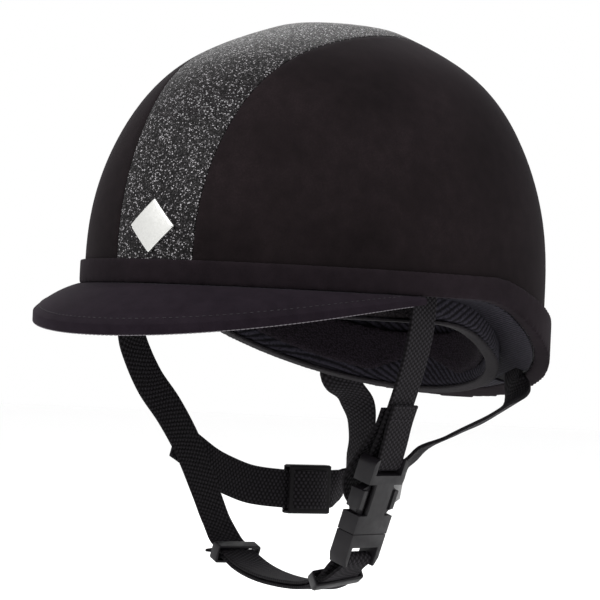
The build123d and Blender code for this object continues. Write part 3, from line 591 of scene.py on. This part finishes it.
def webbing_strap(name, route, offset=0.0):
    """Woven strap along a route of (millimetre point, width direction), shifted to its upper face."""
    line = smooth_line([Vector(point) / 1000 for point, _ in route])
    wides = [unit(wide) for _, wide in route]
    bpy.ops.mesh.primitive_grid_add(x_subdivisions=len(line) - 1, y_subdivisions=strap_columns, size=1)
    strap = bpy.context.object
    strap.name = name
    mesh = strap.data
    corners = [vertex.co.copy() for vertex in mesh.vertices]
    order = sorted(range(len(corners)), key=lambda i: (round(corners[i].x, 6), corners[i].y))
    uv_of = {}
    travelled = 0.0
    for row, (here, share) in enumerate(line):
        before, after = line[max(0, row - 1)][0], line[min(len(line) - 1, row + 1)][0]
        run = (after - before).normalized()
        low = min(int(share), len(wides) - 2)
        mix = share - low
        wide = wides[low].lerp(wides[low + 1], mix * mix * (3 - 2 * mix))
        face = run.cross(wide).normalized()
        wide = face.cross(run)
        if row:
            travelled += (here - line[row - 1][0]).length
        for column in range(strap_columns + 1):
            vertex = order[row * (strap_columns + 1) + column]
            v = column / strap_columns
            mesh.vertices[vertex].co = here + wide * ((v - 0.5) * strap_width) + face * offset
            uv_of[vertex] = (travelled, v)
    strap_uv = mesh.uv_layers.new(name="strap")
    for loop in mesh.loops:
        strap_uv.data[loop.index].uv = uv_of[loop.vertex_index]
    while len(mesh.uv_layers) > 1:
        mesh.uv_layers.remove(mesh.uv_layers[0])
    apply(strap, "SOLIDIFY", thickness=strap_thickness, offset=0.0, use_even_offset=True)
    edge_angle = math.radians(50)
    apply(strap, "BEVEL", width=strap_edge_roll, segments=2, limit_method="ANGLE", angle_limit=edge_angle)
    print(name, round(travelled * 1000), "mm long")
    return strap


# %% [markdown]
# Both front straps leave the foam at the rivets and hang down. The left one runs into the buckle: it
# turns round the socket's bar in a half circle and comes back up as a short sewn end. The buckle leans
# 18 degrees, so places round its bars are counted down and out along its own middle line.

# %% Left front strap
buckle_top = Vector((69.5, -48.0, -83.0))
buckle_lean = math.radians(18.2)
buckle_down = Vector((-math.sin(buckle_lean), 0, -math.cos(buckle_lean)))
buckle_out = Vector((math.cos(buckle_lean), 0, -math.sin(buckle_lean)))
half_circle = [math.radians(turn) for turn in (0, 30, 60, 90, 120, 150, 180)]
loop_radius = 2.8
socket_bar_drop = 3.6
level = (0, 1, 0)


def beside_buckle(drop, out):
    """Point below the buckle's top and out from its middle line."""
    return buckle_top + buckle_down * drop + buckle_out * out


left_front = [
    ((86.8, -48, 4.0), level),
    ((86.8, -48, -3.5), level),
    ((86.8, -48, -11.0), level),
    ((85.9, -48, -24), level),
    ((83.0, -48, -38), level),
    ((78.9, -48, -52), level),
    ((74.0, -48, -66), level),
    ((70.0, -48, -76), level),
]
for turn in half_circle:
    drop = socket_bar_drop + loop_radius * math.sin(turn)
    left_front.append((beside_buckle(drop, -loop_radius * math.cos(turn)), level))
left_front += [((73.9, -48, -77.5), level), ((76.2, -48, -68.0), level), ((79.2, -48, -59.0), level)]
dress(webbing_strap("strap_front_left", left_front), webbing, "webbing", "harness", "front_strap_left")

# %% Right front strap
right_front = [
    ((-86.8, -47, 4.0), level),
    ((-86.8, -47, -3.5), level),
    ((-86.8, -47, -11.0), level),
    ((-86.8, -47, -18.5), level),
    ((-87.1, -46.8, -26), (0, 1, 0.1)),
    ((-86.9, -44.0, -36), (0, 0.93, 0.37)),
    ((-85.0, -32.7, -54), (0, 0.82, 0.57)),
    ((-82.0, -19.0, -69), (0, 0.78, 0.63)),
    ((-79.0, -6.7, -86), (0, 0.84, 0.54)),
    ((-75.0, 4.0, -108), (0, 0.93, 0.37)),
    ((-71.0, 9.2, -123), (0.05, 0.98, 0.15)),
    ((-65.5, 10.8, -132.6), (0.2, 0.97, 0.08)),
    ((-58.5, 9.3, -136.9), (0.3, 0.95, 0)),
]
dress(webbing_strap("strap_front_right", right_front), webbing, "webbing", "harness", "front_strap_right")

# %% [markdown]
# The chin strap hangs below the opening from the far keeper to the plug, turns round the plug's bar and
# ends under itself. Its spare length lies doubled on top of it. Both follow the plug when it is pulled,
# but they get no body here, and at the end their placement is only baked into their meshes.

# %% Chin strap and its tail
plug_bar = beside_buckle(51.3, 0)
tail_lift = -0.0024
chin_line = [
    ((-57.4, 9.0, -137.4), (0.3, 0.95, 0)),
    ((-45.0, 4.6, -142.6), (0.4, 0.92, 0)),
    ((-32.0, -1.8, -145.4), (0.44, 0.9, 0)),
    ((-18.0, -9.1, -146.8), (0.45, 0.89, 0)),
    ((-5.0, -16.0, -147.2), (0.46, 0.89, 0)),
    ((8.0, -23.2, -147.0), (0.45, 0.89, 0)),
    ((20.0, -29.9, -146.2), (0.42, 0.91, 0)),
    ((30.5, -36.2, -144.0), (0.33, 0.94, 0)),
    ((39.5, -42.0, -140.2), (0.15, 0.99, 0)),
    ((46.0, -46.0, -134.8), (0.05, 1, 0)),
]
chin_end = [
    ((51.2, -47.6, -136.8), level),
    ((46.0, -45.4, -140.2), (0.05, 1, 0)),
    ((40.9, -42.6, -142.6), (0.15, 0.99, 0)),
]
chin_in, chin_run = unit((-1, 0, 1)), unit((1, 0, 1))
chin_loop = [
    (plug_bar + chin_in * loop_radius * math.cos(turn) + chin_run * loop_radius * math.sin(turn), level)
    for turn in half_circle
]
tail_line = [
    ((-71.0, 8.4, -135.4), (0.3, 0.95, 0)),
    ((-64.5, 9.6, -135.8), (0.3, 0.95, 0)),
    *chin_line[:8],
    ((36.0, -39.8, -142.0), (0.22, 0.97, 0)),
]
chin = webbing_strap("strap_chin", chin_line + chin_loop + chin_end)
tail = webbing_strap("strap_tail", tail_line, offset=tail_lift)
dress(chin, webbing, "webbing", None, "chin_strap")
dress(tail, webbing, "webbing", None, "chin_strap_tail")

# %% [markdown]
# On each side a rear strap comes from the nape and meets a short tab of the front strap. On the left
# they meet in the small clip, close to the buckle.

# %% Left rear strap and tab
clip_middle, clip_run, clip_wide = Vector((53, -20, -97)), unit((0.15, 0.85, 0.5)), (0.45, -0.55, 0.7)
clip_inside, clip_mouth = 2, 6
nape_wide = (0.8056, -0.5925, 0)
pocket_levels = (-18.5, -26.0, -33.5, -41.0, -46.5)
left_rear = [((53.57, 86.04, z), nape_wide) for z in pocket_levels]
left_rear += [
    ((58.5, 81.0, -53.0), (0.88, -0.4, 0.3)),
    ((64.0, 68.0, -58.0), (0.85, -0.1, 0.45)),
    ((67.0, 50.0, -62.0), (0.85, -0.2, 0.48)),
    ((67.5, 27.5, -68.4), (0.88, -0.28, 0.38)),
    ((64.0, 3.5, -76.5), (0.86, -0.38, 0.32)),
    ((57.5, -8.0, -84.5), (0.68, -0.5, 0.53)),
    (clip_middle + clip_run * clip_mouth, clip_wide),
    (clip_middle + clip_run * clip_inside, clip_wide),
]
left_tab = [
    ((73.0, -48.0, -60.6), level),
    ((69.4, -48.0, -69.8), level),
    ((62.6, -49.0, -80.0), level),
    ((55.2, -49.0, -89.0), (0.1, 0.93, 0.28)),
    ((50.5, -43.0, -96.0), (0.2, 0.6, 0.77)),
    ((51.5, -34.0, -101.5), (0.2, -0.2, 0.95)),
    (clip_middle - clip_run * clip_mouth, clip_wide),
    (clip_middle - clip_run * clip_inside, clip_wide),
]
rear_left = webbing_strap("strap_rear_left", left_rear)
dress(rear_left, webbing, "webbing", None, "rear_strap_left")
dress(webbing_strap("tab_left", left_tab), webbing, "webbing", "harness", "rear_tab_left")

# %% [markdown]
# On the right they meet in the slider, which sets the length. A strap passes over a slider's middle bar,
# so its outer face shows webbing and not plastic: a short arched piece from one end to the other.

# %% Right rear strap, tab and slider wrap
slider_middle, slider_run, slider_wide = Vector((-62.0, 74.0, -107.8)), unit((0.38, 0.92, 0)), (0, 0, 1)
slider_inside, slider_mouth = 3, 12.5
right_tab = [
    ((-81.9, -13.7, -82.6), (-0.08, 0.435, 0.897)),
    ((-80.6, 0.7, -89.5), (-0.08, 0.435, 0.897)),
    ((-79.0, 13.0, -96.5), (0, 0.35, 0.94)),
    ((-77.5, 28.5, -102.0), (0, 0.25, 0.97)),
    ((-74.5, 43.0, -105.9), (0, 0.15, 0.99)),
    (slider_middle - slider_run * slider_mouth, slider_wide),
    (slider_middle - slider_run * slider_inside, slider_wide),
]
right_rear = [
    (slider_middle + slider_run * slider_inside, slider_wide),
    (slider_middle + slider_run * slider_mouth, slider_wide),
    ((-56.4, 95.5, -105.4), (0.35, -0.3, 0.88)),
    ((-55.4, 103.8, -97.8), (0.75, -0.45, 0.5)),
    ((-54.0, 107.8, -87.0), (0.92, -0.38, 0)),
    ((-52.0, 107.0, -74.0), (0.97, -0.2, 0)),
    ((-51.5, 100.0, -60.0), (0.97, 0.2, 0)),
    ((-53.0, 89.5, -52.0), (0.86, 0.5, 0)),
]
right_rear += [((-53.57, 86.04, z), (0.8056, 0.5925, 0)) for z in reversed(pocket_levels)]
slider_face = slider_run.cross(Vector(slider_wide))
arch = ((-11.6, 0.6), (-9.4, 3.4), (-5.0, 5.0), (0.0, 5.4), (5.0, 5.0), (9.4, 3.4), (11.6, 0.6))
wrap_line = [(slider_middle + slider_run * place + slider_face * lift, slider_wide) for place, lift in arch]
rear_right = webbing_strap("strap_rear_right", right_rear)
dress(rear_right, webbing, "webbing", None, "rear_strap_right")
dress(webbing_strap("slider_wrap", wrap_line), webbing, "webbing", "harness")
dress(webbing_strap("tab_right", right_tab), webbing, "webbing", "harness", "rear_tab_right")

# %% [markdown]
# Thread shows that cloth is sewn. A stitch is a small rounded bar: a low sphere is modelled once, and a
# copy is stretched along the seam at each place. Bump in the cloth could draw stitches too, but they
# would be lost at the peak's thin edge, where they are seen from the side.

# %% Stitches
thread = Finish("sewing_thread", (0.012, 0.010, 0.013), 0.7)
thread.colour(
    thread.noise(1800.0, 2.0), (drift_low, (0.0085, 0.0068, 0.0090)), (drift_high, (0.0250, 0.0220, 0.0265))
)
thread.bump(thread.noise(4000.0, 1.0), 0.00005, 0.6)
thread.specular(0.15)
thread_flatness = 0.7


def stitch_row(name, places, length, width, finish, slot, body):
    """Stitches at (point, run, face) places, all in one piece."""
    bpy.ops.object.select_all(action="DESELECT")
    bpy.ops.mesh.primitive_uv_sphere_add(segments=8, ring_count=5, radius=0.5)
    pattern = bpy.context.object
    copies = []
    for point, run, face in places:
        run = unit(run)
        face = (Vector(face) - run * run.dot(Vector(face))).normalized()
        size = Matrix((run * length, face.cross(run) * width, face * width * thread_flatness))
        copy = pattern.copy()
        copy.data = pattern.data.copy()
        copy.data.transform(Matrix.Translation(point) @ size.transposed().to_4x4())
        bpy.context.scene.collection.objects.link(copy)
        copies.append(copy)
    choose(copies[0])
    for copy in copies:
        copy.select_set(True)
    bpy.ops.object.join()
    row = bpy.context.object
    row.name = name
    choose(pattern)
    bpy.ops.object.delete()
    return dress(row, finish, slot, body)


print("stitch helper ready")

# %% [markdown]
# A seam follows the peak's edge, so it is walked by the same formula that shapes the edge: the reach is
# longest in front and dies out at the temples. At each turn a vertical ray finds the cloth, from above
# for the stitch row and from below for a row of pale beads along the folded edge: partly wear and partly
# a painted highlight where the fold catches the light. Walking in small turns and keeping a place only
# after a full stitch length spaces the stitches evenly.

# %% Seams of the peak and the painted highlight on its edge
crown_half_width, crown_front_reach = 102.0, 142.8
peak_start, peak_reach, peak_narrowing, peak_roundness = 3.0, 33.5, 1.25, 1.5
seam_turns = 900
down, up = -1, 1


def over_peak(turn, inset):
    """Point over the peak at a turn from the front, this far in from its edge."""
    side, ahead = math.sin(turn), math.cos(turn)
    out = peak_start + peak_reach * math.cos(turn * peak_narrowing) ** peak_roundness - inset
    return Vector(((crown_half_width + out) * side, -(crown_front_reach + out) * ahead, 0)) / 1000


def places_along_peak_edge(inset, end_turn, pitch, look):
    """Evenly spaced places along the peak's edge, looking down or up at its cloth."""
    cloth = bpy.data.objects["peak_suede"]
    places, previous = [], None
    for index in range(seam_turns + 1):
        turn = math.radians(end_turn * (2 * index / seam_turns - 1))
        start = over_peak(turn, inset) - Vector((0, 0, 0.05 * look))
        hit, where, normal, _ = cloth.ray_cast(start, Vector((0, 0, look)))
        if not hit:
            continue
        if previous is None:
            previous = where
        elif (where - previous).length >= pitch:
            places.append((where + normal * 0.0001, where - previous, normal))
            previous = where
    return places


stitch_row("peak_stitches", places_along_peak_edge(3.2, 60, 0.0029, down), 0.0019, 0.0005, thread, "suede", "helmet")
# Pale beads along the peak's folded edge: partly wear, partly a painted highlight of the lit fold.
edge_wear_and_highlight = Finish("edge_wear_and_highlight", (0.12, 0.11, 0.12), 0.8)
edge_wear_and_highlight.bump(edge_wear_and_highlight.noise(4000.0, 1.0), 0.00005, 0.6)
edge_wear_and_highlight.specular(0.1)
stitch_row("peak_edge_wear_and_highlight", places_along_peak_edge(0.35, 62, 0.0020, up), 0.0023, 0.0007, edge_wear_and_highlight, "suede", "helmet")

# %% [markdown]
# The sewn end of the left front strap is held by two straight rows across its width.

# %% Seams of the left front strap
stitches_across = 7
seam_span = 0.0165
strap_face = (0.93, 0, -0.36)
strap_rows = []
for x, z in ((77.75, -66.2), (80.0, -60.2)):
    for index in range(stitches_across):
        across = seam_span * (index / (stitches_across - 1) - 0.5)
        strap_rows.append((Vector((x, -48.0, z)) / 1000 + Vector((0, across, 0)), level, strap_face))
stitch_row("strap_stitches", strap_rows, 0.0021, 0.0006, thread, "webbing", "harness")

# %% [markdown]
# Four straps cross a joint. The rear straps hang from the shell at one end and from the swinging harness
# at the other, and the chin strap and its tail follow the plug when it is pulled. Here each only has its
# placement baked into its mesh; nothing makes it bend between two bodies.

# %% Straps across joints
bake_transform(rear_left)
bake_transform(rear_right)
for strap in (chin, tail):
    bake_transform(strap)
print("bending straps", 4)
